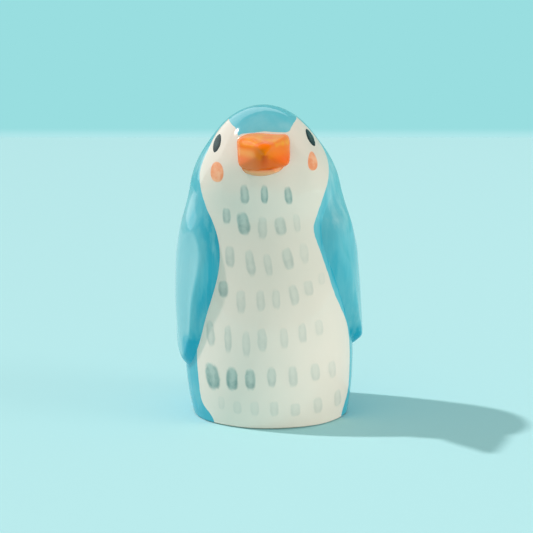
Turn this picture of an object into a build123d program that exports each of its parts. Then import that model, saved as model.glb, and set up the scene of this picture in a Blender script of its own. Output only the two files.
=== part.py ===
from build123d import *
from math import atan2, degrees
import os

# Penguin ornament in hollow clay: the body is cast as one shell and closed below by a luted foot disc,
# the flippers and the bill are modelled apart and luted on, and the whole is glazed and painted by hand.
# The figure faces -Y and stands on Z = 0, and its own right side lies towards -X. It is modelled round the
# body's middle and moved at the end, so that the origin lies under the middle of the outer box.

# Body over the glaze
HEIGHT = 100.0
BODY_WIDTH = 55.0
BODY_DEPTH = 53.4
LEAN = 2.2

# Clay shell and the glaze coat on it
WALL = 4.0
GLAZE = 0.5
DRY_FOOT = 0.9
FOOT_ROUND = 0.7

# Foot disc in its rebate
DISC_THICKNESS = 4.5
DISC_RECESS = 1.2
DISC_LEDGE = 1.4
LUTE_GAP = 0.15
VENT_DIAMETER = 3.0

# Flippers
FLIPPER_WIDTH = 26.0
FLIPPER_THICKNESS = 3.0
RIGHT_FLIPPER_LENGTH = 58.0
LEFT_FLIPPER_LENGTH = 51.9
RIGHT_FLIPPER_TILT = 6.0
LEFT_FLIPPER_TILT = 1.0
SHOULDER_FORWARD = 2.5
FLIPPER_ROUND = 1.8
shoulder_share = 0.745

# Blue paint carried past each flipper onto the body
RIGHT_STRIP = 0.6
LEFT_STRIP = 1.6

# Bill
BILL_WIDTH = 16.6
UPPER_BILL_HEIGHT = 11.8
LOWER_BILL_HEIGHT = 2.6
LOWER_BILL_WIDTH = 11.6
BILL_LENGTH = 14.0
LIP_LENGTH = 2.8
BILL_ROUND = 2.6
mouth_share = 0.814
brow_share = 0.92

# Painted marks, as low domes of enamel on the glaze
ENAMEL = 0.3
EYE_WIDTH = 3.2
EYE_HEIGHT = 6.6
EYE_TILT = 28.0
CHEEK_WIDTH = 5.2
CHEEK_HEIGHT = 6.6
DASH_WIDTH = 2.7
DASH_HEIGHT = 6.4

# Every cutting prism passes the surface that it cuts by this much
OVERRUN = 12.0

# Height, half width, front depth and back depth of the body, as shares of the body sizes
body_shares = (
    (0.000, 0.920, 0.910, 0.910),
    (0.030, 0.942, 0.936, 0.933),
    (0.090, 0.975, 0.974, 0.966),
    (0.170, 0.996, 0.993, 0.993),
    (0.270, 1.000, 0.985, 1.000),
    (0.380, 0.985, 0.944, 0.985),
    (0.490, 0.960, 0.873, 0.948),
    (0.590, 0.935, 0.802, 0.899),
    (0.670, 0.913, 0.772, 0.854),
    (0.740, 0.884, 0.779, 0.809),
    (0.795, 0.829, 0.764, 0.757),
    (0.845, 0.742, 0.712, 0.685),
    (0.890, 0.629, 0.607, 0.584),
    (0.935, 0.498, 0.472, 0.457),
    (0.970, 0.349, 0.326, 0.326),
    (0.992, 0.182, 0.169, 0.172),
    (1.000, 0.030, 0.028, 0.028),
)

# How far the flippers stand out at the body's stations, from the foot to the shoulder
flipper_rise_shares = (1.0, 1.0, 1.0, 1.0, 1.0, 1.0, 1.0, 0.83, 0.57, 0.17, 0.05)

# Flipper outline: across as shares of half its width, along as shares of its length
leaf_shares = (
    (0.00, 0.00),
    (-0.72, 0.13),
    (-1.00, 0.43),
    (-0.76, 0.80),
    (0.00, 1.00),
    (0.60, 0.83),
    (0.95, 0.47),
    (0.72, 0.14),
)

# White front as seen from ahead, running on under the flippers:
# across as shares of the half width, up as shares of the height
white_right_shares = (
    (-0.64, -0.02),
    (-0.82, 0.12),
    (-0.86, 0.27),
    (-0.74, 0.47),
    (-0.68, 0.60),
    (-0.71, 0.725),
    (-0.74, 0.80),
    (-0.60, 0.885),
    (-0.41, 0.958),
)
white_left_shares = (
    (0.37, 0.964),
    (0.58, 0.900),
    (0.71, 0.82),
    (0.70, 0.77),
    (0.66, 0.645),
    (0.72, 0.55),
    (0.86, 0.40),
    (0.94, 0.28),
    (0.93, 0.15),
    (0.82, -0.02),
)
brow_shares = ((-0.30, 0.905), (0.28, 0.905))

# Bill sections, flat above and narrowing to a keel below: out as shares of the bill's length, width above
# and at the keel as shares of its width, height and droop as shares of its height
bill_shares = (
    (-0.40, 1.00, 1.00, 1.00, 0.00),
    (0.00, 1.00, 1.00, 1.00, 0.00),
    (0.50, 0.64, 0.47, 0.66, 0.28),
    (0.92, 0.31, 0.14, 0.34, 0.53),
    (1.00, 0.17, 0.08, 0.19, 0.585),
)

# Largest corner of a bill section, as a share of its height
corner_share = 0.45

# Places of the eyes and cheek spots: up as a share of the height,
# round as a share of a quarter turn from ahead
right_eye_shares = (0.885, -0.64)
left_eye_shares = (0.898, 0.68)
right_cheek_shares = (0.800, -0.48)
left_cheek_shares = (0.832, 0.51)

# Brush dashes by row: how many, up as a share of the height,
# first and last round as shares of a quarter turn
dash_row_shares = (
    (3, 0.734, -0.18, 0.20),
    (5, 0.645, -0.34, 0.27),
    (5, 0.535, -0.31, 0.31),
    (7, 0.425, -0.36, 0.45),
    (7, 0.295, -0.46, 0.41),
    (7, 0.170, -0.45, 0.52),
    (7, 0.071, -0.40, 0.60),
)
QUARTER_TURN = 90


def lean_at(height_share):
    """Sideways place of the body's middle at a share of its height."""
    return LEAN * (0.5 - height_share)


def front_at(up_share):
    """Front depth of the clay at a share of the height, between the two stations around it."""
    above = next(number for number, station in enumerate(body_shares) if station[0] > up_share)
    low, high = body_shares[above - 1], body_shares[above]
    part_share = (up_share - low[0]) / (high[0] - low[0])
    return (BODY_DEPTH / 2 - GLAZE) * (low[2] + (high[2] - low[2]) * part_share)


def section(station, inset):
    """Level outline of the body, a front and a back half ellipse, drawn in by the inset."""
    height_share, width_share, front_share, back_share = station
    half_width = (BODY_WIDTH / 2 - inset) * width_share
    front = (BODY_DEPTH / 2 - inset) * front_share
    back = (BODY_DEPTH / 2 - inset) * back_share
    middle = (lean_at(height_share), 0)
    front_arc = EllipticalCenterArc(middle, half_width, front, 180, arc_size=180)
    back_arc = EllipticalCenterArc(middle, half_width, back, 0, arc_size=180)
    level = (HEIGHT - inset) * height_share
    return Pos(0, 0, level) * make_face([front_arc, back_arc])


def skin(inset):
    """The body's whole form, drawn in by the inset all round and at the crown."""
    return loft([section(station, inset) for station in body_shares])


def raised_skin():
    """The body raised to the outer face of the flippers, running out at the shoulder."""
    rises = [FLIPPER_THICKNESS * share for share in flipper_rise_shares]
    return loft([section(station, -rise) for station, rise in zip(body_shares, rises)])


def leaf_prism(side, length, tilt, margin):
    """A flipper's outline in side view, wider all round by the margin, carried out past that side."""
    half_width = FLIPPER_WIDTH / 2 + margin
    full_length = length + 2 * margin
    points = [(half_width * across, margin - full_length * along) for across, along in leaf_shares]
    shoulder = Plane((0, -SHOULDER_FORWARD, HEIGHT * shoulder_share), x_dir=(0, 1, 0), z_dir=(1, 0, 0))
    leaf = shoulder * Rot(0, 0, -tilt) * make_face([Spline(*points, periodic=True)])
    return extrude(leaf, side * (BODY_WIDTH / 2 + OVERRUN))


def flipper(leaf, raised, clay):
    """The raised side cut to the leaf, rounded along the new rim and hollowed to the clay."""
    rim = new_edges(raised, leaf, combined=raised & leaf)
    return fillet(rim, FLIPPER_ROUND) - clay


def white_prism():
    """The white front, up the right side, over the brow and down the left side, carried forward."""
    def place(shares):
        return [(BODY_WIDTH / 2 * across + lean_at(up), HEIGHT * up) for across, up in shares]
    right_points = place(white_right_shares)
    left_points = place(white_left_shares)
    brow = Polyline(right_points[-1], *place(brow_shares), left_points[0])
    foot = Line(left_points[-1], right_points[0])
    outline = make_face([Spline(*right_points), brow, Spline(*left_points), foot])
    return extrude(Plane.XZ * outline, BODY_DEPTH / 2 + OVERRUN)


def mark(coat, place_shares, width, height, tilt=0):
    """One painted mark, an upright ellipse turned by the tilt and cut from the coat that it faces."""
    up_share, round_share = place_shares
    middle = (lean_at(up_share), 0, HEIGHT * up_share)
    ahead = Plane(middle, x_dir=(1, 0, 0), z_dir=(0, -1, 0))
    facing = ahead.rotated((0, 0, QUARTER_TURN * round_share)) * Rot(0, 0, tilt)
    return coat & extrude(facing * Ellipse(width / 2, height / 2), BODY_DEPTH / 2 + OVERRUN)


def bill_outline(width, keel, height, corner):
    """One section of the bill, with its corners rounded."""
    top, foot = height / 2, -height / 2
    corners = [(-width / 2, top), (-keel / 2, foot), (keel / 2, foot), (width / 2, top)]
    outline = make_face([Polyline(*corners, close=True)])
    return fillet(outline.vertices(), corner)


def bill(width, height, length, base):
    """A bill half as a run of outlines that draw in and droop towards the tip."""
    outlines = []
    for out_share, width_share, keel_share, height_share, droop_share in bill_shares:
        place = base * Pos(0, height / 2 - height * droop_share, length * out_share)
        corner = min(BILL_ROUND, height * corner_share) * min(width_share, height_share)
        sizes = (width * width_share, width * keel_share, height * height_share)
        outlines.append(place * bill_outline(*sizes, corner))
    return loft(outlines)


# Forms that the pieces are cut from
glaze_form = skin(0)
clay_form = skin(GLAZE)
hollow_form = skin(GLAZE + WALL)

# Shell, open below, with a rebate for the foot disc
disc_top = DISC_RECESS + DISC_THICKNESS
rebate_form = skin(GLAZE + WALL - DISC_LEDGE)
slab = Box(BODY_WIDTH, BODY_DEPTH, disc_top, align=(Align.CENTER, Align.CENTER, Align.MIN))
rebate = rebate_form & slab
foot_edges = clay_form.edges().group_by(Axis.Z)[0]
body_shell = fillet(foot_edges, FOOT_ROUND) - hollow_form - rebate

# Foot disc with its vent
disc_form = skin(GLAZE + WALL - DISC_LEDGE + LUTE_GAP)
disc_slab = Pos(0, 0, DISC_RECESS) * Box(
    BODY_WIDTH, BODY_DEPTH, DISC_THICKNESS, align=(Align.CENTER, Align.CENTER, Align.MIN)
)
vent = Pos(lean_at(0), 0, DISC_RECESS) * Cylinder(
    VENT_DIAMETER / 2, DISC_THICKNESS, align=(Align.CENTER, Align.CENTER, Align.MIN)
)
foot_disc = (disc_form & disc_slab) - vent

# Flippers, seated on the bare clay
raised_form = raised_skin()
right_leaf = leaf_prism(-1, RIGHT_FLIPPER_LENGTH, RIGHT_FLIPPER_TILT, 0)
left_leaf = leaf_prism(1, LEFT_FLIPPER_LENGTH, LEFT_FLIPPER_TILT, 0)
right_flipper = flipper(right_leaf, raised_form, clay_form)
left_flipper = flipper(left_leaf, raised_form, clay_form)

# Bill, seated on the bare clay and leaning back with the face
face_fall = front_at(mouth_share) - front_at(brow_share)
face_slope = degrees(atan2(face_fall, HEIGHT * (brow_share - mouth_share)))
mouth_place = (lean_at(mouth_share), -front_at(mouth_share), HEIGHT * mouth_share)
mouth = Plane(mouth_place, x_dir=(1, 0, 0), z_dir=(0, -1, 0)).rotated((-face_slope, 0, 0))
upper_bill = bill(BILL_WIDTH, UPPER_BILL_HEIGHT, BILL_LENGTH, mouth) - clay_form
lip_base = mouth * Pos(0, -LOWER_BILL_HEIGHT, 0)
lower_bill = bill(LOWER_BILL_WIDTH, LOWER_BILL_HEIGHT, LIP_LENGTH, lip_base) - clay_form - upper_bill

# Glaze coat, cut for what is luted on and parted along the edge of the white,
# without the crumb that the bill leaves in the mouth
luted_on = [right_flipper, left_flipper, upper_bill, lower_bill]
foot_slab = Box(BODY_WIDTH, BODY_DEPTH, DRY_FOOT, align=(Align.CENTER, Align.CENTER, Align.MIN))
coat = glaze_form - clay_form - foot_slab - luted_on
right_blue = leaf_prism(-1, RIGHT_FLIPPER_LENGTH, RIGHT_FLIPPER_TILT, RIGHT_STRIP)
left_blue = leaf_prism(1, LEFT_FLIPPER_LENGTH, LEFT_FLIPPER_TILT, LEFT_STRIP)
white = white_prism() - right_blue - left_blue
front_glaze = (coat & white).solids().sort_by(SortBy.VOLUME)[-1]
back_glaze = coat - white

# Painted marks on the glaze, cut from a coat of enamel
enamel = skin(-ENAMEL) - glaze_form - luted_on
rows = {}
for number, (count, up_share, first_share, last_share) in enumerate(dash_row_shares, start=1):
    step_share = (last_share - first_share) / (count - 1)
    places = [(up_share, first_share + step_share * dash) for dash in range(count)]
    dashes = [mark(enamel, place, DASH_WIDTH, DASH_HEIGHT) for place in places]
    rows[f"feather_row_{number}"] = Compound(children=dashes)

pieces = {
    "body_shell": body_shell,
    "foot_disc": foot_disc,
    "front_glaze": front_glaze,
    "back_glaze": back_glaze,
    "right_flipper": right_flipper,
    "left_flipper": left_flipper,
    "upper_bill": upper_bill,
    "lower_bill": lower_bill,
    "right_eye": mark(enamel, right_eye_shares, EYE_WIDTH, EYE_HEIGHT, EYE_TILT),
    "left_eye": mark(enamel, left_eye_shares, EYE_WIDTH, EYE_HEIGHT, -EYE_TILT),
    "right_cheek_spot": mark(enamel, right_cheek_shares, CHEEK_WIDTH, CHEEK_HEIGHT),
    "left_cheek_spot": mark(enamel, left_cheek_shares, CHEEK_WIDTH, CHEEK_HEIGHT),
    **rows,
}

# The origin, under the middle of the outer box from the bill's tip to the back
front = min(shape.bounding_box().min.Y for shape in pieces.values())
back = max(shape.bounding_box().max.Y for shape in pieces.values())
centred = Pos(0, -(front + back) / 2, 0)

os.makedirs("parts", exist_ok=True)
for name, shape in pieces.items():
    export_step(centred * shape, f"parts/{name}.step")
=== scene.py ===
import math

import bpy
import numpy as np
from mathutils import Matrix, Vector


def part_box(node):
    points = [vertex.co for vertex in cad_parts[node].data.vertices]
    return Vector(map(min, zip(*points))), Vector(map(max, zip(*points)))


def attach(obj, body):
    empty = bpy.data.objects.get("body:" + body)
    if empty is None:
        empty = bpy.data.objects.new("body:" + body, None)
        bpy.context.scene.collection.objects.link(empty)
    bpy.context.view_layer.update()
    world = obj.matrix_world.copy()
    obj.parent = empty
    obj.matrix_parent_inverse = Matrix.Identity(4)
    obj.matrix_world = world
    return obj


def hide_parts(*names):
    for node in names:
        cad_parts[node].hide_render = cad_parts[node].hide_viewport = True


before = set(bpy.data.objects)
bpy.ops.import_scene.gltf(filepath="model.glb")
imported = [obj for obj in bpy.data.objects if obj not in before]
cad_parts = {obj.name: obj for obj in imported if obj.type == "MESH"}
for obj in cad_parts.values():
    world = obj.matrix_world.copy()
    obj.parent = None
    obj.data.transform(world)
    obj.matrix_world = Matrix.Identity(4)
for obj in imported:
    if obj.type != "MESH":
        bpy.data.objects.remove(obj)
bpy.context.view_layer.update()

# A hand-painted penguin ornament: a hollow clay body under a white and a blue coat of glaze, with luted
# flippers and bill and thin painted marks. The figure faces -Y, and its own right side lies towards -X.
# Sizes are in millimetres and angles in degrees. A mesh takes its points in metres.
MM = 0.001

# The body's middle stands behind the origin, which lies under the middle of the outer box
FOOT_LOW, FOOT_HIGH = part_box("foot_disc")
BODY_MIDDLE = (FOOT_LOW[1] + FOOT_HIGH[1]) / 2 / MM

# Body over the glaze, from the foot to the crown: height, half width, front depth, back depth
BODY_STATIONS = np.array((
    (0.0, 25.3, 24.3, 24.3),
    (3.0, 25.9, 25.0, 24.9),
    (9.0, 26.8, 26.0, 25.8),
    (17.0, 27.4, 26.5, 26.5),
    (27.0, 27.5, 26.3, 26.7),
    (38.0, 27.1, 25.2, 26.3),
    (49.0, 26.4, 23.3, 25.3),
    (59.0, 25.7, 21.4, 24.0),
    (67.0, 25.1, 20.6, 22.8),
    (74.0, 24.3, 20.8, 21.6),
    (79.5, 22.8, 20.4, 20.2),
    (84.5, 20.4, 19.0, 18.3),
    (89.0, 17.3, 16.2, 15.6),
    (93.5, 13.7, 12.6, 12.2),
    (97.0, 9.6, 8.7, 8.7),
    (99.2, 5.0, 4.5, 4.6),
    (100.0, 0.0, 0.0, 0.0),
))
HEIGHT = 100.0
LEAN = 2.2
GLAZE = 0.5
WALL = 4.0
DRY_FOOT = 0.4
FOOT_ROUND = 0.7
REBATE_INSET = 3.1
LEDGE_HEIGHT = 5.7
MEAN_RADIUS = 26.0

# Low waves that the hand leaves on the body, and the run below the crown over which they die out
BROAD_WAVE = 0.10
FINE_WAVE = 0.06
WAVE_FADE = 20.0
# Waver of the coat's lower edge
BROAD_WAVER = 0.12
FINE_WAVER = 0.10
# Run left open round the crown in the clay's outside and inside, which its two end points close
OUTER_GAP = 1.5
INNER_GAP = 5.0

# Soft forms pressed into the clay: angle from ahead, height, reach across, reach up, lift
SWELLS = (
    (-46.0, 77.0, 9.0, 7.0, 0.4),
    (48.0, 79.0, 9.0, 7.0, 0.4),
    (-24.0, 78.0, 4.0, 5.0, -0.35),
    (24.0, 79.0, 4.0, 5.0, -0.3),
)

# Edge of the white front as seen from ahead, from its foot up to the peak at the cap: across, height
WHITE_RIGHT_EDGE = (
    (-18.0, -3.0), (-18.3, 1.9), (-21.1, 5.4), (-22.5, 11.9), (-23.0, 18.4), (-22.8, 25.0), (-21.3, 35.0),
    (-19.0, 43.5), (-17.0, 53.0), (-16.4, 59.0), (-17.4, 65.0), (-19.6, 72.5), (-20.4, 79.4), (-17.8, 86.1),
    (-14.6, 91.8), (-11.0, 95.7),
)
WHITE_LEFT_EDGE = (
    (22.8, -3.0), (23.0, 1.4), (24.8, 6.6), (25.9, 14.9), (25.8, 26.8), (24.7, 32.3), (21.8, 39.6),
    (18.7, 49.4), (16.0, 57.4), (14.8, 63.7), (15.6, 66.0), (17.5, 71.2), (19.7, 78.6), (19.3, 84.5),
    (14.8, 91.8), (10.2, 96.4),
)
CAP_EDGE = (
    (-11.0, 95.7), (-9.0, 93.4), (-8.1, 90.9), (-7.2, 91.6), (0.0, 92.5), (6.6, 92.0), (7.7, 92.3),
    (9.1, 94.4), (10.2, 96.4),
)

# Flipper outlines, anticlockwise as seen from outside:
# angle from ahead, height, width of the rim's slope, ease of the slope's start, pooled glaze and painted
# shade
RIGHT_FLIPPER = np.array((
    (-78.0, 78.0, 16.0, 2.0, 0.0),
    (-100.0, 71.0, 14.0, 1.8, 0.0),
    (-115.0, 60.0, 8.0, 1.3, 0.3),
    (-119.0, 48.0, 4.5, 1.0, 0.5),
    (-112.0, 34.0, 4.0, 1.0, 0.6),
    (-96.0, 23.0, 3.0, 1.0, 0.8),
    (-74.0, 16.4, 2.6, 1.0, 1.0),
    (-58.0, 22.0, 2.8, 1.0, 0.7),
    (-46.0, 34.0, 3.3, 1.0, 0.85),
    (-36.5, 46.0, 3.7, 1.0, 1.0),
    (-34.5, 57.0, 4.1, 1.0, 1.0),
    (-44.0, 67.0, 5.5, 1.2, 0.8),
    (-60.0, 74.5, 12.0, 1.8, 0.05),
))
LEFT_FLIPPER = np.array((
    (78.0, 78.0, 16.0, 2.0, 0.0),
    (60.0, 74.5, 11.0, 1.8, 0.1),
    (45.0, 67.0, 6.0, 1.3, 0.6),
    (42.0, 60.0, 4.2, 1.0, 1.0),
    (50.0, 49.5, 4.0, 1.0, 1.0),
    (59.0, 40.0, 3.8, 1.0, 1.0),
    (71.0, 29.5, 3.0, 1.0, 1.0),
    (86.0, 22.6, 2.6, 1.0, 1.0),
    (102.0, 28.5, 3.0, 1.0, 0.8),
    (114.0, 41.0, 4.0, 1.0, 0.6),
    (118.0, 52.0, 4.5, 1.0, 0.5),
    (113.0, 63.0, 8.5, 1.4, 0.3),
    (99.0, 72.0, 14.0, 1.8, 0.0),
))
FLIPPER_RISE = 3.2
FLIPPER_SINK = 0.6
RIM_SINK = 0.15
# How each flipper is modelled: the ridge's rise, the share of the rise that the tip loses, angle and height
# of the drop of glaze, and depth of the paint on the face (below 0 a paler painted light), on the front slope
# (deep glaze and painted shade) and in the drop
RIGHT_MODELLING = (0.95, 0.42, (-59.0, 22.5), (-0.35, 0.66, 1.3))
LEFT_MODELLING = (0.3, 0.0, (80.0, 25.5), (0.08, 0.25, 0.8))
# Rings of a flipper, how far they crowd to the rim, and how sharply the slope levels off
FLIPPER_RINGS = 60
RING_CROWDING = 1.6
LEVELLING = 6
# In widths of the slope from the rim: the ridge's place and width, where the deep glaze starts to fade and
# over what width, and how fast the pale face starts
RIDGE_PLACE = 1.25
RIDGE_WIDTH = 0.6
BAND_START = 0.55
BAND_FADE = 1.1
FACE_START = 2.2
# Reach of the ridge's end at the tip, of the thinning above the tip, of the drop and of the pooled glaze
# and painted crease shade on the coat
RIDGE_END = 8.0
THINNING = 16.0
DROP_REACH = 4.5
POOL_AND_SHADE_REACH = 1.1

# Bill outlines as seen from ahead, anticlockwise: across, height
UPPER_BILL = (
    (5.4, 82.0), (7.2, 82.7), (7.9, 84.2), (8.0, 87.4), (7.9, 90.5), (7.3, 91.5), (5.6, 91.8), (0.0, 92.1),
    (-7.3, 91.1), (-8.4, 90.2), (-8.6, 87.8), (-8.4, 84.2), (-7.9, 82.3), (-6.6, 81.4), (-0.9, 80.9),
)
LOWER_BILL = (
    (6.4, 82.6), (2.5, 81.9), (-0.9, 81.4), (-4.5, 81.5), (-7.3, 81.9),
    (-6.7, 80.7), (-5.0, 79.8), (-0.9, 79.3), (3.0, 80.1), (5.4, 81.4),
)
# Noses of the bill halves: across, forward, height, share of the outline's width and height, bulge
UPPER_NOSE = (0.1, 31.3, 88.2, 0.34, 0.34, 1.6)
LOWER_NOSE = (-0.8, 21.4, 80.7, 0.6, 0.5, 0.3)
KEEL = 0.7
ROUNDING = 0.8
BILL_SINK = 0.3
# Share of the bill's reach that falls steeply at its outline, and depth of its root at the rim and the middle
BILL_EDGE = 0.18
ROOT_DEPTH = 1.0
ROOT_MIDDLE = 2.0
# Reach of the bill's paint below and beside the nose
LOW_REACH = 4.0
SIDE_REACH = 8.0

# Painted marks as seen from ahead: across, height, half width, half height, tilt, narrowing of the upper end,
# squareness, where 2 is an ellipse
RIGHT_EYE = (-14.8, 88.4, 1.08, 2.85, -19.0, 0.05, 1.75)
LEFT_EYE = (14.4, 90.0, 0.92, 2.85, 26.0, 0.05, 1.75)
RIGHT_CHEEK = (-14.7, 80.0, 2.15, 3.2, 0.0, 0.06, 2.2)
LEFT_CHEEK = (14.6, 83.2, 1.5, 3.0, 4.0, 0.28, 2.1)

# Brush dashes by row, from the throat down: across, height, half width, half height, tilt, strength
DASH_ROWS = (
    ((-6.4, 73.5, 1.4, 3.1, 4.0, 0.6), (-0.3, 73.6, 1.15, 2.8, 0.0, 0.8), (7.0, 73.3, 1.2, 2.8, 6.0, 0.75)),
    ((-12.2, 66.7, 1.3, 2.6, 0.0, 0.55), (-7.0, 64.6, 1.9, 3.5, 10.0, 0.75),
     (-1.2, 63.3, 1.5, 3.4, 0.0, 0.34), (4.4, 63.8, 1.8, 2.8, 8.0, 0.46), (9.5, 64.6, 1.1, 2.9, 4.0, 0.24)),
    ((-11.5, 54.2, 1.5, 3.4, 0.0, 0.42), (-5.1, 52.4, 1.5, 4.0, 8.0, 0.4), (0.3, 52.1, 1.3, 3.4, 8.0, 0.3),
     (6.5, 53.8, 1.7, 3.2, 12.0, 0.4), (11.6, 55.1, 1.4, 3.2, 6.0, 0.22)),
    ((-13.8, 44.2, 1.6, 2.6, 0.0, 0.6), (-8.3, 40.7, 1.5, 3.5, 0.0, 0.32), (-2.2, 41.2, 1.4, 3.2, 2.0, 0.3),
     (2.6, 41.7, 1.3, 3.1, 2.0, 0.28), (8.1, 42.8, 1.5, 3.1, 10.0, 0.35), (12.8, 44.5, 1.5, 2.5, 6.0, 0.28),
     (16.9, 47.0, 1.1, 2.0, 0.0, 0.16)),
    ((-18.2, 29.8, 1.4, 4.0, 4.0, 0.42), (-12.6, 28.7, 1.2, 4.2, 0.0, 0.36),
     (-6.9, 27.7, 1.3, 4.0, 0.0, 0.28), (-2.0, 29.2, 1.5, 3.6, 2.0, 0.32), (4.8, 29.6, 1.3, 3.2, 2.0, 0.26),
     (10.6, 30.9, 1.3, 3.1, 4.0, 0.3), (15.9, 32.0, 1.3, 2.5, 4.0, 0.22)),
    ((-17.9, 16.0, 2.2, 4.2, 8.0, 0.85), (-11.7, 16.2, 1.9, 3.6, 0.0, 0.8), (-6.0, 16.5, 1.6, 3.5, 0.0, 0.66),
     (0.7, 17.4, 1.4, 3.2, 0.0, 0.42), (7.3, 17.5, 1.5, 3.4, 2.0, 0.34), (14.3, 18.0, 1.5, 2.9, 4.0, 0.31),
     (19.8, 18.0, 1.3, 2.8, 4.0, 0.25)),
    ((-15.3, 7.7, 1.1, 2.3, 0.0, 0.16), (-10.3, 6.9, 1.3, 2.2, 0.0, 0.2), (-4.8, 7.1, 1.4, 2.5, 0.0, 0.2),
     (1.3, 7.2, 1.4, 2.5, 0.0, 0.26), (7.8, 6.5, 1.6, 2.3, 0.0, 0.28), (15.0, 7.0, 1.5, 2.9, 2.0, 0.28),
     (21.6, 7.7, 1.3, 2.9, 2.0, 0.3)),
)
DASH_BLEED = 1.16
DASH_SQUARENESS = 2.7
DASH_CROWN = 0.03
ENAMEL_CROWN = 0.06
MARK_EDGE = 0.008
MARK_SINK = 0.2
# Points round a mark, and its rings from the middle to the rim as shares
MARK_POINTS = 48
MARK_RINGS = (0.2, 0.4, 0.6, 0.75, 0.87, 0.95, 0.995, 1.0)

# Colours as red, green and blue out of 255
# WHITE_LIT is painted light on the white near the foot, which passes up the figure into WHITE_DULL
WHITE_LIT = (248, 235, 222)
WHITE_DULL = (232, 225, 212)
BLUE_LIGHT = (160, 216, 224)
BLUE_MID = (98, 192, 208)
BLUE_DEEP = (56, 180, 202)
# Deepest blue: pooled glaze, and also painted shade in creases and down a flipper's front slope
BLUE_POOL_AND_SHADE = (0, 168, 196)
# Bill oranges: the light top and the pale and peach side are painted light, the under and deepest oranges are
# painted shade
ORANGE_PALE = (255, 166, 92)
ORANGE_PEACH = (255, 134, 78)
ORANGE_LIGHT = (255, 168, 26)
ORANGE_MID = (255, 142, 36)
ORANGE_STRONG = (255, 124, 8)
ORANGE_UNDER = (255, 104, 4)
ORANGE_SHADE_UNDER_NOSE = (230, 76, 0)
LIP_LIGHT = (246, 172, 118)
LIP_RIM = (240, 122, 48)
EYE_DARK = (34, 46, 48)
EYE_WASH = (66, 84, 84)
CHEEK_LIGHT = (255, 190, 150)
CHEEK_DEEP = (248, 154, 108)
DASH_LIGHT = (186, 203, 194)
DASH_DEEP = (120, 156, 152)
CLAY_LIGHT = (228, 222, 208)
CLAY_DARK = (208, 200, 184)
FLOOR_COLOUR = (183, 239, 245)
WALL_COLOUR = (153, 222, 224)
WALL_FOOT_COLOUR = (178, 232, 235)

# Finishes: roughness, then scale and depth of the fine waves in the glaze or grain in the clay
GLAZE_FINISH = (0.07, 160.0, 0.014)
BILL_FINISH = (0.08, 160.0, 0.015)
LIP_FINISH = (0.14, 160.0, 0.05)
CLAY_FINISH = (0.85, 1500.0, 0.06)
EYE_ROUGHNESS = 0.14
BILL_GLINT = 0.07
EYE_GLINT = 0.2

# Brush patterns: scale, detail, stretch along each axis
WHITE_CLOUD = (70.0, 3.0)
BLUE_CLOUD = (45.0, 2.0)
BLUE_STREAK = (420.0, 4.0, (1.0, 1.0, 0.08))
POOL_STREAK = (520.0, 3.0, (1.0, 1.0, 0.06))
EDGE_WAVER = (420.0, 2.0)
BILL_STREAK = (300.0, 3.0, (1.0, 1.0, 0.5))
LIP_CLOUD = (300.0, 3.0)
EYE_CLOUD = (300.0, 3.0)
CHEEK_CLOUD = (330.0, 3.0)
DASH_CLOUD = (420.0, 3.0)
CLAY_GRAIN = (500.0, 5.0)

# Heights between which the paint changes: the painted light on the white's lower part fades, the blue pales
# above the foot and again at the shoulder, deepens on the cap and loses its streaks there, and the wall's
# foot ends
WHITE_FOOT_LIGHT_FADES = (18.0, 55.0)
FOOT_PALES = (12.0, 36.0)
SHOULDER_PALES = (55.0, 74.0)
CAP_DEEPENS = (80.0, 90.0)
CAP_SMOOTHS = (84.0, 94.0)
WALL_FOOT = (0.0, 12.0)

# Stage and lamps in metres. The key is far away: strength, colour, spread, where from
STAGE_HALF = 3.0
STAGE_BACK = 1.145
WALL_TOP = 3.0
KEY_STRENGTH = 1.95
KEY_COLOUR = (1.0, 0.80, 0.78)
KEY_SPREAD = 2.0
KEY_FROM = (-0.75, 0.18, 1.0)
# Flat lamps: watts, colour, width and height, place, target
FILL = (16.0, (1.0, 0.80, 0.72), (0.8, 0.5), (1.9, -0.6, 0.3), (0.0, 0.0, 0.04))
LOW_CARD = (0.35, (1.0, 0.88, 0.80), (0.5, 0.16), (-0.15, -0.7, 0.09), (0.0, 0.0, 0.04))
BACK_CARD = (18.0, (1.0, 1.0, 1.0), (3.4, 1.4), (-0.4, 1.1, 0.8), (0.0, 0.0, 0.05))
SURROUND_COLOUR = (0.94, 1.0, 0.95, 1.0)
SURROUND_STRENGTH = 0.52

# Camera: sensor and lens, distance and rise, and the place across and the height that it looks at
SENSOR_WIDTH = 36.0
LENS = 93.6
CAMERA_DISTANCE = 450.0
CAMERA_RISE = 9.8
LOOK_ACROSS = -0.195
LOOK_HEIGHT = 47.66


def smooth_through(knots, values, at):
    """Natural cubic spline: a cubic on each span, whose bends at the knots make all slopes agree."""
    spans = np.diff(knots)
    inner = np.arange(1, len(knots) - 1)
    system = np.eye(len(knots))
    system[inner, inner - 1] = spans[:-1]
    system[inner, inner] = 2 * (spans[:-1] + spans[1:])
    system[inner, inner + 1] = spans[1:]
    turns = np.zeros_like(values)
    turns[1:-1] = 6 * np.diff(np.diff(values, axis=0) / spans[:, None], axis=0)
    bends = np.linalg.solve(system, turns)
    at = np.asarray(at, float)
    low = np.clip(np.searchsorted(knots, at) - 1, 0, len(knots) - 2)
    span = spans[low][..., None]
    ahead = (knots[low + 1] - at)[..., None]
    behind = (at - knots[low])[..., None]
    cubic = (bends[low] * ahead**3 + bends[low + 1] * behind**3) / (6 * span)
    first = (values[low] / span - bends[low] * span / 6) * ahead
    second = (values[low + 1] / span - bends[low + 1] * span / 6) * behind
    return cubic + first + second


def chord_runs(points):
    """Length along the straight lines through the points, from 0."""
    return np.concatenate(((0.0,), np.cumsum(np.linalg.norm(np.diff(points, axis=0), axis=1))))


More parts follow.
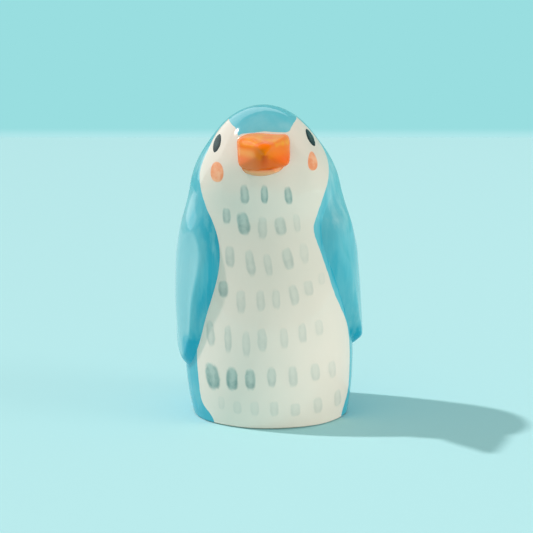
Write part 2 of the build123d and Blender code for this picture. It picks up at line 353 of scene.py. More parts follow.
def closed_curve(rows, sizes, count):
    """The spline through rows of numbers and back to the first, at even steps of its first two in sizes."""
    looped = np.vstack((rows, rows, rows, rows[:1]))
    runs = chord_runs(looped[:, :2] * sizes)
    start, end = runs[len(rows)], runs[2 * len(rows)]
    return smooth_through(runs, looped, np.linspace(start, end, count, endpoint=False))


# The body's outline goes up to the crown and down again, so that the spline is round at the crown
BODY_ROWS = np.vstack((BODY_STATIONS, BODY_STATIONS[-2::-1] * (1, -1, -1, -1)))
BODY_RUNS = chord_runs(BODY_ROWS[:, :2])
CROWN_RUN = BODY_RUNS[len(BODY_STATIONS) - 1]
RUN_STEPS = np.linspace(0, CROWN_RUN, 4000)
HEIGHT_STEPS = smooth_through(BODY_RUNS, BODY_ROWS, RUN_STEPS)[:, 0]
WIDTH_STEPS = smooth_through(BODY_RUNS, BODY_ROWS, RUN_STEPS)[:, 1]


def run_at(height):
    """Run along the outline at a height."""
    return np.interp(height, HEIGHT_STEPS, RUN_STEPS)


def lean_at(height):
    """Sideways place of the body's middle at a height."""
    return LEAN * (0.5 - height / HEIGHT)


def form(angle, run):
    """Plain body: half width times the sine of the angle across, and depth times its cosine forward,
    the depth passing from front to back by a sine of that cosine."""
    height, width, front, back = np.moveaxis(smooth_through(BODY_RUNS, BODY_ROWS, run), -1, 0)
    ahead = np.cos(angle)
    depth = back + (front - back) * (0.5 + 0.5 * np.sin(ahead * np.pi / 2))
    return np.stack((lean_at(height) + width * np.sin(angle), BODY_MIDDLE - depth * ahead, height), -1)


def normal_of(surface, angle, run):
    """Outward normal, across the steps of the surface by angle and by run."""
    turn, step = 1e-3, 0.02
    across = surface(angle + turn, run) - surface(angle - turn, run)
    along = surface(angle, run + step) - surface(angle, run - step)
    normal = np.cross(across, along)
    return normal / np.maximum(np.linalg.norm(normal, axis=-1, keepdims=True), 1e-9)


def swelling(angle, run):
    """Lift over the plain body: a bell for each pressed form, and low waves from the hand, sines of the angle
    and the height that die out towards the crown."""
    height = np.interp(run, RUN_STEPS, HEIGHT_STEPS)
    waves = BROAD_WAVE * np.sin(3 * angle + height / 17) * np.sin(height / 13)
    waves = waves + FINE_WAVE * np.sin(5 * angle - height / 9)
    lift = waves * np.clip((CROWN_RUN - run) / WAVE_FADE, 0, 1)
    for bell_angle, bell_height, reach_across, reach_up, rise in SWELLS:
        across = (angle - math.radians(bell_angle)) * MEAN_RADIUS / reach_across
        up = (height - bell_height) / reach_up
        lift = lift + rise * np.exp(-(across**2 + up**2))
    return lift


def body(angle, run):
    """The glazed body: the plain body lifted along its normal by the swelling."""
    return form(angle, run) + swelling(angle, run)[..., None] * normal_of(form, angle, run)


def laid(angle, run, lift):
    """Points on the body, lifted off it along its normal."""
    angle, run, lift = np.broadcast_arrays(angle, run, lift)
    return body(angle, run) + lift[..., None] * normal_of(body, angle, run)


def seen_at(across, height):
    """Angle and run of the body's front point that is seen straight ahead at a place across and a height."""
    width = np.interp(run_at(height), RUN_STEPS, WIDTH_STEPS)
    return np.arcsin(np.clip(across / width, -1, 1)), run_at(height)


def paper(angle, run):
    """The body's skin laid out flat: width times the angle across, and the run up."""
    return np.stack((angle * np.interp(run, RUN_STEPS, WIDTH_STEPS), run), -1)


def distance_to(points, outline):
    """Distance of flat points to a closed outline, over 0 inside it."""
    ends = np.roll(outline, -1, axis=0)
    sides = ends - outline
    away = points[:, None] - outline
    share = np.clip((away * sides).sum(-1) / (sides**2).sum(-1), 0, 1)
    distance = np.linalg.norm(away - share[..., None] * sides, axis=-1).min(1)
    crosses = (outline[:, 1] > points[:, None, 1]) != (ends[:, 1] > points[:, None, 1])
    rise = np.where(sides[:, 1] == 0, 1, sides[:, 1])
    at = outline[:, 0] + (points[:, None, 1] - outline[:, 1]) / rise * sides[:, 0]
    inside = (crosses & (points[:, None, 0] < at)).sum(1) % 2 == 1
    return np.where(inside, distance, -distance)


def white_outline():
    """The white front laid out flat: up the right edge, along the cap and down the left edge."""
    def edge(points):
        points = np.array(points)
        runs = chord_runs(points)
        return smooth_through(runs, points, np.linspace(0, runs[-1], 90))

    seen = np.vstack((edge(WHITE_RIGHT_EDGE), np.array(CAP_EDGE)[1:-1], edge(WHITE_LEFT_EDGE)[::-1]))
    return paper(*seen_at(seen[:, 0], seen[:, 1]))


def flipper_outline(rows, count=240):
    """A flipper's rim as a closed spline: angle, run, slope width, ease, and pooled glaze with painted
    shade.
    """
    curve = closed_curve(rows, (math.radians(MEAN_RADIUS), 1.0), count)
    curve[:, 0] = np.radians(curve[:, 0])
    curve[:, 1] = run_at(curve[:, 1])
    return curve


def make_piece(name, points, faces, material, nodes, values):
    """A smooth mesh object that stands for CAD nodes and carries values on its points for the paint."""
    mesh = bpy.data.meshes.new(name)
    mesh.from_pydata((points * MM).tolist(), [], faces)
    mesh.polygons.foreach_set("use_smooth", np.ones(len(mesh.polygons), bool))
    for label, numbers in values.items():
        layer = mesh.attributes.new(label, "FLOAT", "POINT")
        layer.data.foreach_set("value", np.asarray(numbers, np.float32).ravel())
    mesh.materials.append(material)
    piece = bpy.data.objects.new(name, mesh)
    bpy.context.collection.objects.link(piece)
    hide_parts(*nodes)
    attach(piece, "root")
    return piece


def ring_faces(count, around, start=0):
    """Faces of a closed solid: a fan from the first point, bands from ring to ring and a fan to the last
    point."""
    column = np.arange(around)
    after = np.roll(column, -1)
    ring = start + 1 + np.arange(count - 1)[:, None] * around
    bands = np.stack((ring + column, ring + around + column, ring + around + after, ring + after), -1)
    last_ring = start + 1 + (count - 1) * around
    first = np.stack((np.full(around, start), start + 1 + column, start + 1 + after), -1)
    last = np.stack((np.full(around, last_ring + around), last_ring + after, last_ring + column), -1)
    return first.tolist() + bands.reshape(-1, 4).tolist() + last.tolist()


def ring_points(first, rings, last):
    """Points of that solid in the order that its faces name them."""
    return np.vstack((first[None], rings.reshape(-1, rings.shape[-1]), last[None]))


def coat_grid(columns=260, rows=150):
    """The coat's outer face on a grid of angles round and runs up from a lower edge that wavers by two sines,
    with the crown as its last point."""
    angles = np.linspace(-np.pi, np.pi, columns, endpoint=False)
    waver = BROAD_WAVER * np.sin(3 * angles + 1.0) + FINE_WAVER * np.sin(7 * angles)
    foot = run_at(DRY_FOOT) + waver
    share = np.linspace(0, 1, rows, endpoint=False)[:, None]
    runs = foot + (CROWN_RUN - foot) * share
    angles = np.broadcast_to(angles, runs.shape)
    points = np.vstack((body(angles, runs).reshape(-1, 3), form(np.zeros(1), np.array((CROWN_RUN,)))))
    flat = np.vstack((paper(angles, runs).reshape(-1, 2), ((0.0, CROWN_RUN),)))
    column = np.arange(columns)
    after = np.roll(column, -1)
    ring = np.arange(rows - 1)[:, None] * columns
    quads = np.stack((ring + column, ring + after, ring + columns + after, ring + columns + column), -1)
    last = (rows - 1) * columns
    fan = np.stack((last + column, last + after, np.full(columns, rows * columns)), -1)
    return points, flat, quads.reshape(-1, 4), fan


def make_coats(white_paint, blue_paint):
    """Parts the coat along the edge of the white. Glaze pools on it, with painted shade in the crease, by a
    bell of the distance to a flipper."""
    points, flat, quads, fan = coat_grid()
    edge = distance_to(flat, white_outline())
    pool_and_painted_light = np.zeros(len(flat))
    for rows in (RIGHT_FLIPPER, LEFT_FLIPPER):
        rim = flipper_outline(rows)
        away = np.linalg.norm(flat[:, None] - paper(rim[:, 0], rim[:, 1]), axis=-1)
        pool_and_painted_light = np.maximum(pool_and_painted_light, rim[away.argmin(1), 4] * np.exp(-((away.min(1) / POOL_AND_SHADE_REACH) ** 2)))
    values = {"edge": edge, "pool_and_painted_light": pool_and_painted_light}
    is_white = edge[quads].mean(1) > 0
    make_coat("white_front", points, (quads[is_white],), white_paint, "front_glaze", values)
    make_coat("blue_back", points, (quads[~is_white], fan), blue_paint, "back_glaze", values)


def make_coat(name, points, groups, paint, node, values):
    """One part of the coat, from groups of faces, on its own points, with sharp open edges and an inward
    thickness."""
    used = np.unique(np.concatenate([group.ravel() for group in groups]))
    faces = sum((np.searchsorted(used, group).tolist() for group in groups), [])
    own_values = {label: numbers[used] for label, numbers in values.items()}
    piece = make_piece(name, points[used], faces, paint, (node,), own_values)
    mark_rim_sharp(piece.data)
    thick = piece.modifiers.new("coat", "SOLIDIFY")
    thick.thickness = GLAZE * MM
    thick.offset = -1


def mark_rim_sharp(mesh):
    """Sharp shading on the edges that only one face uses."""
    edges = np.zeros(len(mesh.loops), np.int32)
    mesh.loops.foreach_get("edge_index", edges)
    uses = np.bincount(edges, minlength=len(mesh.edges))
    layer = mesh.attributes.new("sharp_edge", "BOOLEAN", "EDGE")
    layer.data.foreach_set("value", uses == 1)


def make_clay(paint, columns=160):
    """The clay shell as rings: down its outside, round the foot ring, up the rebate and up its inside."""
    angles = np.linspace(-np.pi, np.pi, columns, endpoint=False)

    def skin(runs, inset):
        return laid(angles[None], runs[:, None], -inset)

    def level(inset, height):
        plan = form(angles, np.zeros(columns))
        middle = np.array((lean_at(0), BODY_MIDDLE, 0))
        ring = middle + (plan - middle) * (1 - inset / BODY_STATIONS[0, 1])
        ring[:, 2] = height
        return ring[None]

    outside = skin(np.linspace(CROWN_RUN - OUTER_GAP, run_at(DRY_FOOT), 60), GLAZE)
    turn = np.linspace(0, np.pi / 2, 5)
    foot = [level(GLAZE + FOOT_ROUND * (1 - math.cos(a)), FOOT_ROUND * (1 - math.sin(a))) for a in turn]
    rebate = [level(REBATE_INSET, 0), level(REBATE_INSET, LEDGE_HEIGHT)]
    inside = skin(np.linspace(run_at(LEDGE_HEIGHT), CROWN_RUN - INNER_GAP, 50), GLAZE + WALL)
    rings = np.concatenate((outside, *foot, *rebate, inside))
    crown = form(np.zeros(1), np.array((CROWN_RUN,)))[0]
    points = ring_points(crown - (0, 0, GLAZE), rings, crown - (0, 0, GLAZE + WALL))
    faces = ring_faces(len(rings), columns)
    make_piece("clay_body", points, faces, paint, ("body_shell",), {})


def make_flipper(name, node, rows, modelling, paint):
    """A leaf on the body: rings drawn in from the rim to a middle point, lifted by a slope that levels off.
    The lift is the rise times t over the sixth root of one plus t to the sixth, t being the distance from
    the rim over the slope's width. A bell of t adds a ridge by the front slope, which ends in a bell round
    the tip, and a bell of the height over the tip thins the lift. The glaze is deep from the rim to the
    ridge, as pooled glaze and painted shade, and deepest in a drop at the tip. Where the face's depth is
    below 0 the face is painted paler, as painted light."""
    ridge_rise, tip_loss, (drop_angle, drop_height), (face, front, drop) = modelling
    rim = flipper_outline(rows)
    middle = np.array((rim[:, 0].mean(), rim[:, 1].mean()))
    share = 1 - np.linspace(1, 0, FLIPPER_RINGS)[1:, None] ** RING_CROWDING
    angles = middle[0] + (rim[:, 0] - middle[0]) * share
    runs = middle[1] + (rim[:, 1] - middle[1]) * share

    def distance(angle, run):
        return np.hypot((angles - angle) * MEAN_RADIUS, runs - run)

    reach = np.hypot((rim[:, 0] - middle[0]) * MEAN_RADIUS, rim[:, 1] - middle[1])
    inward = (1 - share) * reach / rim[:, 2]
    slope = (inward / (1 + inward**LEVELLING) ** (1 / LEVELLING)) ** rim[:, 3]
    tip_angle, tip_run = rim[rim[:, 1].argmin(), :2]
    settle = np.exp(-((distance(tip_angle, tip_run) / RIDGE_END) ** 2))
    ridge = rim[:, 4] ** 2 * np.exp(-(((inward - RIDGE_PLACE) / RIDGE_WIDTH) ** 2)) * (1 - settle)
    thin = 1 - tip_loss * np.exp(-(((runs - tip_run) / THINNING) ** 2))
    lift = -RIM_SINK + ((FLIPPER_RISE + RIM_SINK) * slope + ridge_rise * ridge) * thin
    under = laid(rim[None, :, 0], rim[None, :, 1], -FLIPPER_SINK)
    rings = np.concatenate((laid(angles, runs, lift), under))
    peak = laid(middle[:1], middle[1:], FLIPPER_RISE)[0]
    pit = laid(middle[:1], middle[1:], -FLIPPER_SINK)[0]

    # The band of deep glaze down the front slope is also painted shade, and a face depth below 0 is painted
    # light
    fade = np.clip((inward - BAND_START) / BAND_FADE, 0, 1)
    shaded_band = rim[:, 4] * (1 - fade**2 * (3 - 2 * fade))
    open_rim = (1 - rim[:, 4]) * np.clip(1 - FACE_START * inward, 0, 1)
    pool_and_painted_light = face * (1 - open_rim) + (front - face) * shaded_band
    blob = np.exp(-((distance(math.radians(drop_angle), run_at(drop_height)) / DROP_REACH) ** 4))
    pool_and_painted_light = pool_and_painted_light + (drop - pool_and_painted_light) * blob
    values = {"pool_and_painted_light": np.concatenate(((0.0,), pool_and_painted_light.ravel(), np.ones(len(rim) + 1)))}
    faces = ring_faces(len(rings), len(rim))
    make_piece(name, ring_points(peak, rings, pit), faces, paint, (node,), values)


def make_bill(name, node, outline, nose, keel, paint):
    """A bill half as rings from its nose to its outline on the face. The nose is the outline drawn in and
    partly turned into an ellipse, narrowed downwards to a keel and domed by its bulge. Straight lines join it
    to the outline, with a steep edge there."""
    across, forward, height, wide_share, high_share, bulge = nose
    seen = closed_curve(np.array(outline), (1.0, 1.0), 160)
    base = laid(*seen_at(seen[:, 0], seen[:, 1]), -BILL_SINK)
    middle = base.mean(0)
    half = np.ptp(base, axis=0) / 2
    drawn = (base - middle) / half
    turn = np.arctan2(drawn[:, 2], drawn[:, 0])
    oval = np.stack((np.cos(turn), np.zeros_like(turn), np.sin(turn)), -1)
    shape = drawn + (oval - drawn) * ROUNDING
    shape[:, 0] *= 1 - keel * (0.5 - 0.5 * np.clip(shape[:, 2], -1, 1))
    tip = np.array((across + lean_at(height), BODY_MIDDLE - forward, height))
    rim = tip + shape * half * (wide_share, 0, high_share)
    inner = np.linspace(0, 1, 12)[1:-1, None, None]
    dome = tip + (rim - tip) * inner - np.array((0, bulge, 0)) * (1 - inner**2.5)
    share = np.linspace(0, 1, 40)[:, None, None]
    steep = 1 - np.sqrt(np.maximum(1 - share**8, 0))
    back = (1 - BILL_EDGE) * share + BILL_EDGE * steep
    fall = share * np.array((1, 0, 1)) + back * np.array((0, 1, 0))
    sides = rim + (base - rim) * fall
    behind = base + np.array((0, ROOT_DEPTH, 0))
    rings = np.concatenate((dome, sides, behind[None]))
    points = ring_points(tip - (0, bulge, 0), rings, middle + (0, ROOT_MIDDLE, 0))
    out_of_sides = np.repeat(1 - share[:, 0, 0], len(seen))
    left_corner = seen[(seen @ (1, 1)).argmax()]
    right_corner = seen[(seen @ (-1, 1)).argmax()]
    squared = np.minimum(((seen - left_corner) ** 2).sum(1), ((seen - right_corner) ** 2).sum(1))
    values = {
        "out": np.concatenate((np.ones(1 + len(dome) * len(seen)), out_of_sides, np.zeros(len(seen) + 1))),
        "low": np.clip((tip[2] - points[:, 2]) / LOW_REACH, -1, 1),
        "side": np.clip((points[:, 0] - tip[0]) / SIDE_REACH, -1, 1),
        "ridge": np.concatenate(((0.0,), np.tile(np.exp(-squared), len(rings)), (0.0,))),
    }
    make_piece(name, points, ring_faces(len(rings), len(seen)), paint, (node,), values)


def mark_solid(across, height, half_width, half_height, tilt, narrowing, squareness, crown, start=0):
    """A low dome on the body, drawn as seen from ahead: rings of a squared ellipse whose upper end narrows,
    turned by the tilt, lifted by one less the square of the ring's share, and closed below the coat. Its
    faces number its points from a start."""
    around = np.linspace(0, 2 * np.pi, MARK_POINTS, endpoint=False)
    share = np.array(MARK_RINGS)[:, None]
    cosine, sine = np.cos(around), np.sin(around)
    flank = np.sign(cosine) * np.abs(cosine) ** (2 / squareness)
    ends = np.sign(sine) * np.abs(sine) ** (2 / squareness)
    aside = half_width * flank * (1 - narrowing * ends) * share
    up = half_height * ends * share
    turn = math.radians(tilt)
    places = seen_at(across + aside * math.cos(turn) - up * math.sin(turn),
                     height + aside * math.sin(turn) + up * math.cos(turn))
    lift = MARK_EDGE + (crown - MARK_EDGE) * (1 - share**2)
    under = laid(places[0][-1:], places[1][-1:], -MARK_SINK)
    rings = np.concatenate((laid(*places, lift), under))
    middle = seen_at(np.array((across,)), np.array((height,)))
    points = ring_points(laid(*middle, crown)[0], rings, laid(*middle, -MARK_SINK)[0])

    def spread(numbers, rim):
        return np.concatenate(((0.0,), numbers.ravel(), rim, (1.0,)))

    values = {
        "spread": spread(share * np.ones_like(around), np.ones_like(around)),
        "up": spread(ends * share, ends),
        "aside": spread(flank * share, flank),
    }
    return points, ring_faces(len(rings), len(around), start), values


def make_mark(name, node, mark, paint):
    """An eye or a cheek spot."""
    points, faces, values = mark_solid(*mark, ENAMEL_CROWN)
    make_piece(name, points, faces, paint, (node,), values)


def make_dash_row(number, row, paint):
    """One row of brush dashes, each with its own strength and blotches."""
    all_points, all_faces, all_values = [], [], {}
    for place, (across, height, half_width, half_height, tilt, strength) in enumerate(row):
        dash = (across, height, half_width * DASH_BLEED, half_height * DASH_BLEED, tilt, 0.0, DASH_SQUARENESS)
        points, faces, values = mark_solid(*dash, DASH_CROWN, sum(map(len, all_points)))
        all_points.append(points)
        all_faces += faces
        values["strength"] = np.full(len(points), strength)
        values["batch"] = np.full(len(points), number * 10.0 + place)
        for label, numbers in values.items():
            all_values.setdefault(label, []).append(numbers)
    values = {label: np.concatenate(numbers) for label, numbers in all_values.items()}
    make_piece(f"dash_row_{number}", np.vstack(all_points), all_faces, paint,
               (f"feather_row_{number}",), values)


def linear(colour):
    """A colour out of 255 as the linear light that the shaders take."""
    share = np.array(colour) / 255
    light = np.where(share <= 0.04045, share / 12.92, ((share + 0.055) / 1.055) ** 2.4)
    return (*light.tolist(), 1.0)


class Paint:
    """A material whose nodes are added one by one, each giving one of its outputs."""

    def __init__(self, name):
        self.material = bpy.data.materials.new(name)
        self.material.use_nodes = True
        self.tree = self.material.node_tree
        self.shader = self.tree.nodes["Principled BSDF"]

    def add(self, kind, inputs, output=0, **settings):
        """A node with its settings and inputs."""
        made = self.tree.nodes.new("ShaderNode" + kind)
        for label, value in settings.items():
            setattr(made, label, value)
        for socket, value in inputs.items():
            self.put(made.inputs[socket], value)
        return made.outputs[output]

    def put(self, socket, value):
        """Links an output to a socket, or sets a number on it."""
        if isinstance(value, bpy.types.NodeSocket):
            self.tree.links.new(value, socket)
        else:
            socket.default_value = value

    def value(self, label):
        """A value that the piece carries on its points."""
        return self.add("Attribute", {}, output=2, attribute_name=label)

    def place(self, stretch=(1, 1, 1)):
        """The place on the piece."""
        return self.add("Mapping", {0: self.add("TexCoord", {}, output=3), "Scale": stretch})

    def noise(self, scale, detail, stretch=(1, 1, 1), shift=None):
        """Clouds between 0 and 1, stretched into streaks along an axis, or shifted."""
        vector = self.place(stretch)
        if shift is not None:
            vector = self.add("VectorMath", {0: vector, 1: shift}, operation="ADD")
        return self.add("TexNoise", {"Vector": vector, "Scale": scale, "Detail": detail, "Roughness": 0.55})

    def sums(self, operation, first, second):
        """One sum of two values."""
        return self.add("Math", {0: first, 1: second}, operation=operation)

    def swing(self, noise, reach):
        """Clouds turned about 0: less one half, times a reach."""
        return self.sums("MULTIPLY", self.sums("SUBTRACT", noise, 0.5), reach)

    def fit(self, value, low, high, to_low=0.0, to_high=1.0):
        """A smooth step from one number to another while a value goes from low to high."""
        return self.add("MapRange", {0: value, 1: low, 2: high, 3: to_low, 4: to_high},
                        interpolation_type="SMOOTHSTEP")

    def rise(self, heights, to_low=0.0, to_high=1.0):
        """A smooth step from one number to another between two heights."""
        low, high = heights
        height = self.add("SeparateXYZ", {0: self.place()}, output=2)
        return self.fit(height, low * MM, high * MM, to_low, to_high)

    def mix(self, share, first, second):
        """The first colour passing to the second by a share."""
        first = first if isinstance(first, bpy.types.NodeSocket) else linear(first)
        second = second if isinstance(second, bpy.types.NodeSocket) else linear(second)
        return self.add("Mix", {0: share, 6: first, 7: second}, output=2, data_type="RGBA")

    def finish(self, colour, roughness, wave_scale=0.0, wave_depth=0.0):
        """Puts colour, roughness and fine waves on the shader."""
        self.put(self.shader.inputs["Base Color"], colour)
        self.shader.inputs["Roughness"].default_value = roughness
        self.shader.inputs["IOR"].default_value = 1.5
        if wave_scale:
            height = self.noise(wave_scale, 2.0)
            bump = self.add("Bump", {"Strength": 0.5, "Distance": wave_depth * MM, "Height": height})
            self.put(self.shader.inputs["Normal"], bump)
        return self.material


def white_wash(paint):
    """White glaze with faint clouds, painted lighter near the foot as painted light and a little duller up
    the figure.
    """
    cloud = paint.swing(paint.noise(*WHITE_CLOUD), 0.6)
    return paint.mix(paint.sums("ADD", paint.rise(WHITE_FOOT_LIGHT_FADES, 0.1, 0.9), cloud), WHITE_LIT, WHITE_DULL)


def blue_wash(paint, pool_and_painted_light):
    """Blue glaze brushed up and down: clouds and long streaks between a light and a deep blue, paler at the
    shoulder than at the foot and smooth on the cap, paler where the pool value is below 0, as thin glaze and
    painted light, and deep where it is above 0, as pooled glaze and painted shade."""
    streak = paint.swing(paint.noise(*BLUE_STREAK), paint.rise(CAP_SMOOTHS, 0.38, 0.12))
    cloud = paint.swing(paint.noise(*BLUE_CLOUD), 0.6)
    level = paint.sums("ADD", paint.rise(FOOT_PALES, 0.68, 0.5), paint.rise(SHOULDER_PALES, 0.0, -0.1))
    level = paint.sums("ADD", level, paint.rise(CAP_DEEPENS, 0.0, 0.07))
    depth = paint.sums("ADD", paint.sums("ADD", streak, cloud), level)
    pale = paint.mix(paint.fit(depth, 0.25, 0.5), BLUE_LIGHT, BLUE_MID)
    full = paint.mix(paint.fit(depth, 0.5, 0.7), pale, BLUE_DEEP)
    # Painted light: below 0 the value turns the blue paler, on a flipper's lit outer face, partly as thin
    # glaze
    thin = paint.mix(paint.fit(pool_and_painted_light, 0.0, -0.6), full, BLUE_LIGHT)
    # Pooled glaze and painted shade: above 0 the value deepens the blue in creases, down a front slope and in
    # a drop
    stroke = paint.fit(paint.noise(*POOL_STREAK), 0.36, 0.62, 0.5, 1.15)
    return paint.mix(paint.fit(paint.sums("MULTIPLY", pool_and_painted_light, stroke), 0.0, 1.0), thin, BLUE_POOL_AND_SHADE)


def coat_paint(name):
    """The two coats share one paint: white inside the edge, blue outside it, with a brushed edge."""
    paint = Paint(name)
    edge = paint.sums("ADD", paint.value("edge"), paint.swing(paint.noise(*EDGE_WAVER), 0.5))
    blue = blue_wash(paint, paint.sums("MULTIPLY", paint.value("pool_and_painted_light"), 0.75))
    colour = paint.mix(paint.fit(edge, -0.12, 0.12), blue, white_wash(paint))
    return paint.finish(colour, *GLAZE_FINISH)


def flipper_paint():
    """Blue glaze: paler on the outer face as painted light, deeper down the front slope as deep glaze and
    painted shade, and pooled at the tip.
    """
    paint = Paint("flipper_blue")
    return paint.finish(blue_wash(paint, paint.value("pool_and_painted_light")), *GLAZE_FINISH)


def bill_paint():
    """Orange glaze: lighter on top as painted light, pale peach down the lit right side as painted light and
    reflection, deeper on the lower faces as painted shade, strong along the ridges, on the nose and at the
    rim, deepest just under the nose as painted shade, and brushed in streaks."""
    paint = Paint("bill_orange")
    side, low, reach = paint.value("side"), paint.value("low"), paint.value("out")
    stroke = paint.noise(*BILL_STREAK)
    out = paint.sums("ADD", reach, paint.swing(stroke, 0.3))
    # Painted light on the top face and painted shade on the lower faces
    top = paint.mix(paint.fit(stroke, 0.35, 0.65), ORANGE_LIGHT, ORANGE_MID)
    flank = paint.mix(paint.fit(low, 0.2, 0.9), ORANGE_STRONG, ORANGE_UNDER)
    colour = paint.mix(paint.fit(low, -0.35, 0.0), top, flank)
    # Painted light and reflection: pale peach down the figure's right side, which faces the key
    lit_side = paint.sums("MULTIPLY", paint.fit(side, 0.0, -0.55, 0.0, 0.85), paint.fit(low, -0.1, 0.35))
    colour = paint.mix(lit_side, colour, paint.mix(paint.fit(low, 0.4, 0.9), ORANGE_PALE, ORANGE_PEACH))
    along_ridge = paint.sums("MULTIPLY", paint.value("ridge"), 0.7)
    colour = paint.mix(paint.sums("MAXIMUM", paint.fit(out, 0.6, 0.9), along_ridge), colour, ORANGE_STRONG)
    # Painted shade: the deepest orange just under the nose, by the keel
    near_keel = paint.fit(paint.sums("ABSOLUTE", side, 0.0), 0.2, 0.04)
    under = paint.sums("MULTIPLY", near_keel, paint.fit(low, 0.3, 0.5))
    under = paint.sums("MULTIPLY", under, paint.fit(out, 0.2, 0.9, 0.15, 0.8))
    colour = paint.mix(under, colour, ORANGE_SHADE_UNDER_NOSE)
    colour = paint.mix(paint.fit(reach, 0.09, 0.03, 0.0, 0.7), colour, ORANGE_STRONG)
    paint.shader.inputs["Specular IOR Level"].default_value = BILL_GLINT
    return paint.finish(colour, *BILL_FINISH)


def lip_paint():
    """Thin orange wash with a stronger rim."""
    paint = Paint("lip_orange")
    rim = paint.sums("ADD", paint.value("out"), paint.sums("MULTIPLY", paint.noise(*LIP_CLOUD), 0.2))
    return paint.finish(paint.mix(paint.fit(rim, 0.2, 0.5), LIP_RIM, LIP_LIGHT), *LIP_FINISH)


def eye_paint():
    """Dark enamel, thinner in its middle."""
    paint = Paint("eye_dark")
    thin = paint.sums("MULTIPLY", paint.fit(paint.value("spread"), 0.85, 0.2), paint.noise(*EYE_CLOUD))
    paint.shader.inputs["Specular IOR Level"].default_value = EYE_GLINT
    return paint.finish(paint.mix(thin, EYE_DARK, EYE_WASH), EYE_ROUGHNESS)


def cheek_paint():
    """Coral wash in clouds, fading into the white at its edge."""
    paint = Paint("cheek_coral")
    cloud = paint.noise(*CHEEK_CLOUD)
    colour = paint.mix(paint.fit(cloud, 0.35, 0.65), CHEEK_LIGHT, CHEEK_DEEP)
    edge = paint.sums("ADD", paint.value("spread"), paint.sums("MULTIPLY", cloud, 0.12))
    return paint.finish(paint.mix(paint.fit(edge, 0.94, 1.05), colour, white_wash(paint)), *GLAZE_FINISH)


def dash_paint():
    """Grey-green watercolour: darker flanks and lower end, a lighter middle, blotches, and a soft edge that
    fades into the white."""
    paint = Paint("dash_grey")
    batch = paint.add("CombineXYZ", {0: paint.value("batch"), 1: paint.value("batch")})
    cloud = paint.sums("SUBTRACT", paint.noise(*DASH_CLOUD, shift=batch), 0.5)
    spread = paint.sums("ADD", paint.value("spread"), paint.sums("MULTIPLY", cloud, 0.45))
    flank = paint.fit(paint.sums("ABSOLUTE", paint.value("aside"), 0.0), 0.1, 0.6, -0.15, 0.4)
    low = paint.fit(paint.value("up"), 0.4, -0.7, -0.05, 0.4)
    blot = paint.fit(cloud, -0.16, 0.16, -0.12, 0.36)
    wash = paint.mix(paint.sums("ADD", paint.sums("ADD", flank, low), blot), DASH_LIGHT, DASH_DEEP)
    strength = paint.fit(paint.value("strength"), 0.0, 0.95, 0.05, 1.0)
    shown = paint.sums("MULTIPLY", paint.fit(spread, 0.98, 0.66), strength)
    return paint.finish(paint.mix(shown, white_wash(paint), wash), *GLAZE_FINISH)


def clay_paint():
    """Bare fired clay, matt and grained."""
    paint = Paint("bare_clay")
    colour = paint.mix(paint.fit(paint.noise(*CLAY_GRAIN), 0.3, 0.7), CLAY_LIGHT, CLAY_DARK)
    return paint.finish(colour, *CLAY_FINISH)


def make_stage():
    """A pale floor, and behind it a plain wall that the camera sees in its own colour."""
    left, right, front, back = -STAGE_HALF, STAGE_HALF, -STAGE_HALF, STAGE_BACK
    floor_corners = ((left, front, 0), (right, front, 0), (right, back, 0), (left, back, 0))
    wall_corners = ((left, back, 0), (right, back, 0), (right, back, WALL_TOP), (left, back, WALL_TOP))
    make_side("floor", floor_corners, FLOOR_COLOUR, True)
    wall = make_side("wall", wall_corners, WALL_COLOUR, False)
    shown = wall.mix(wall.rise(WALL_FOOT), WALL_FOOT_COLOUR, WALL_COLOUR)
    glow = wall.add("Emission", {"Color": shown})
    seen = wall.add("MixShader", {0: wall.add("LightPath", {}), 1: wall.shader.outputs[0], 2: glow})
    wall.put(wall.tree.nodes["Material Output"].inputs[0], seen)


def make_side(name, corners, colour, shades):
    """One matt side of the stage, which may let the surround's light through."""
    mesh = bpy.data.meshes.new(name)
    mesh.from_pydata(corners, [], [(0, 1, 2, 3)])
    paint = Paint(name)
    paint.put(paint.shader.inputs["Base Color"], linear(colour))
    paint.shader.inputs["Roughness"].default_value = 0.9
    paint.shader.inputs["Specular IOR Level"].default_value = 0.0
    mesh.materials.append(paint.material)
    side = bpy.data.objects.new(name, mesh)
    bpy.context.collection.objects.link(side)
    side.visible_diffuse = shades
    side.visible_shadow = shades
    return paint


def make_lamp(name, energy, colour, sizes, place, target):
    """A flat lamp that the camera doesn't see."""
    data = bpy.data.lights.new(name, "AREA")
    data.energy = energy
    data.color = colour
    data.shape = "RECTANGLE"
    data.size, data.size_y = sizes
    lamp = aim(data, Vector(place), Vector(target))
    lamp.visible_camera = False
    return lamp


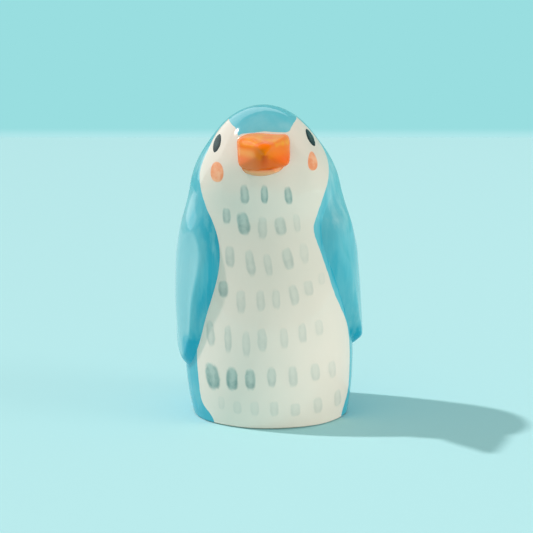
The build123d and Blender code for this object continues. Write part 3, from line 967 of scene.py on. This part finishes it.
def make_light():
    """A warm key from the figure's right, a soft lamp from its left, a low card ahead of it, a wide card
    behind it that shows only in the glaze, and a pale surround."""
    key = bpy.data.lights.new("key", "SUN")
    key.energy = KEY_STRENGTH
    key.color = KEY_COLOUR
    key.angle = math.radians(KEY_SPREAD)
    aim(key, Vector(KEY_FROM), Vector((0, 0, 0)))
    make_lamp("fill", *FILL).visible_glossy = False
    make_lamp("low_card", *LOW_CARD).visible_glossy = False
    make_lamp("back_card", *BACK_CARD).visible_diffuse = False
    world = bpy.data.worlds.new("surround")
    world.use_nodes = True
    surround = world.node_tree.nodes["Background"]
    surround.inputs["Color"].default_value = SURROUND_COLOUR
    surround.inputs["Strength"].default_value = SURROUND_STRENGTH
    bpy.context.scene.world = world


def aim(data, place, target):
    """Adds a lamp or camera at a place, looking at the target."""
    made = bpy.data.objects.new(data.name, data)
    made.location = place
    made.rotation_euler = (target - place).to_track_quat("-Z", "Y").to_euler()
    bpy.context.collection.objects.link(made)
    return made


def make_camera():
    """The photograph's view: level, straight ahead and a little from above."""
    camera = bpy.data.cameras.new("camera")
    camera.sensor_width = SENSOR_WIDTH
    camera.lens = LENS
    rise = math.radians(CAMERA_RISE)
    target = Vector((LOOK_ACROSS, BODY_MIDDLE, LOOK_HEIGHT)) * MM
    place = target + Vector((0, -math.cos(rise), math.sin(rise))) * CAMERA_DISTANCE * MM
    bpy.context.scene.camera = aim(camera, place, target)


clay = clay_paint()
flipper_blue = flipper_paint()
make_clay(clay)
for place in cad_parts["foot_disc"].material_slots:
    place.material = clay
make_coats(coat_paint("coat_white"), coat_paint("coat_blue"))
make_flipper("right_wing", "right_flipper", RIGHT_FLIPPER, RIGHT_MODELLING, flipper_blue)
make_flipper("left_wing", "left_flipper", LEFT_FLIPPER, LEFT_MODELLING, flipper_blue)
make_bill("bill_top", "upper_bill", UPPER_BILL, UPPER_NOSE, KEEL, bill_paint())
make_bill("bill_lip", "lower_bill", LOWER_BILL, LOWER_NOSE, 0.0, lip_paint())
eye_dark = eye_paint()
make_mark("eye_right", "right_eye", RIGHT_EYE, eye_dark)
make_mark("eye_left", "left_eye", LEFT_EYE, eye_dark)
cheek_coral = cheek_paint()
make_mark("cheek_right", "right_cheek_spot", RIGHT_CHEEK, cheek_coral)
make_mark("cheek_left", "left_cheek_spot", LEFT_CHEEK, cheek_coral)
dash_grey = dash_paint()
for number, row in enumerate(DASH_ROWS, start=1):
    make_dash_row(number, row, dash_grey)
make_stage()
make_light()
make_camera()
bpy.context.scene.view_settings.view_transform = "Standard"
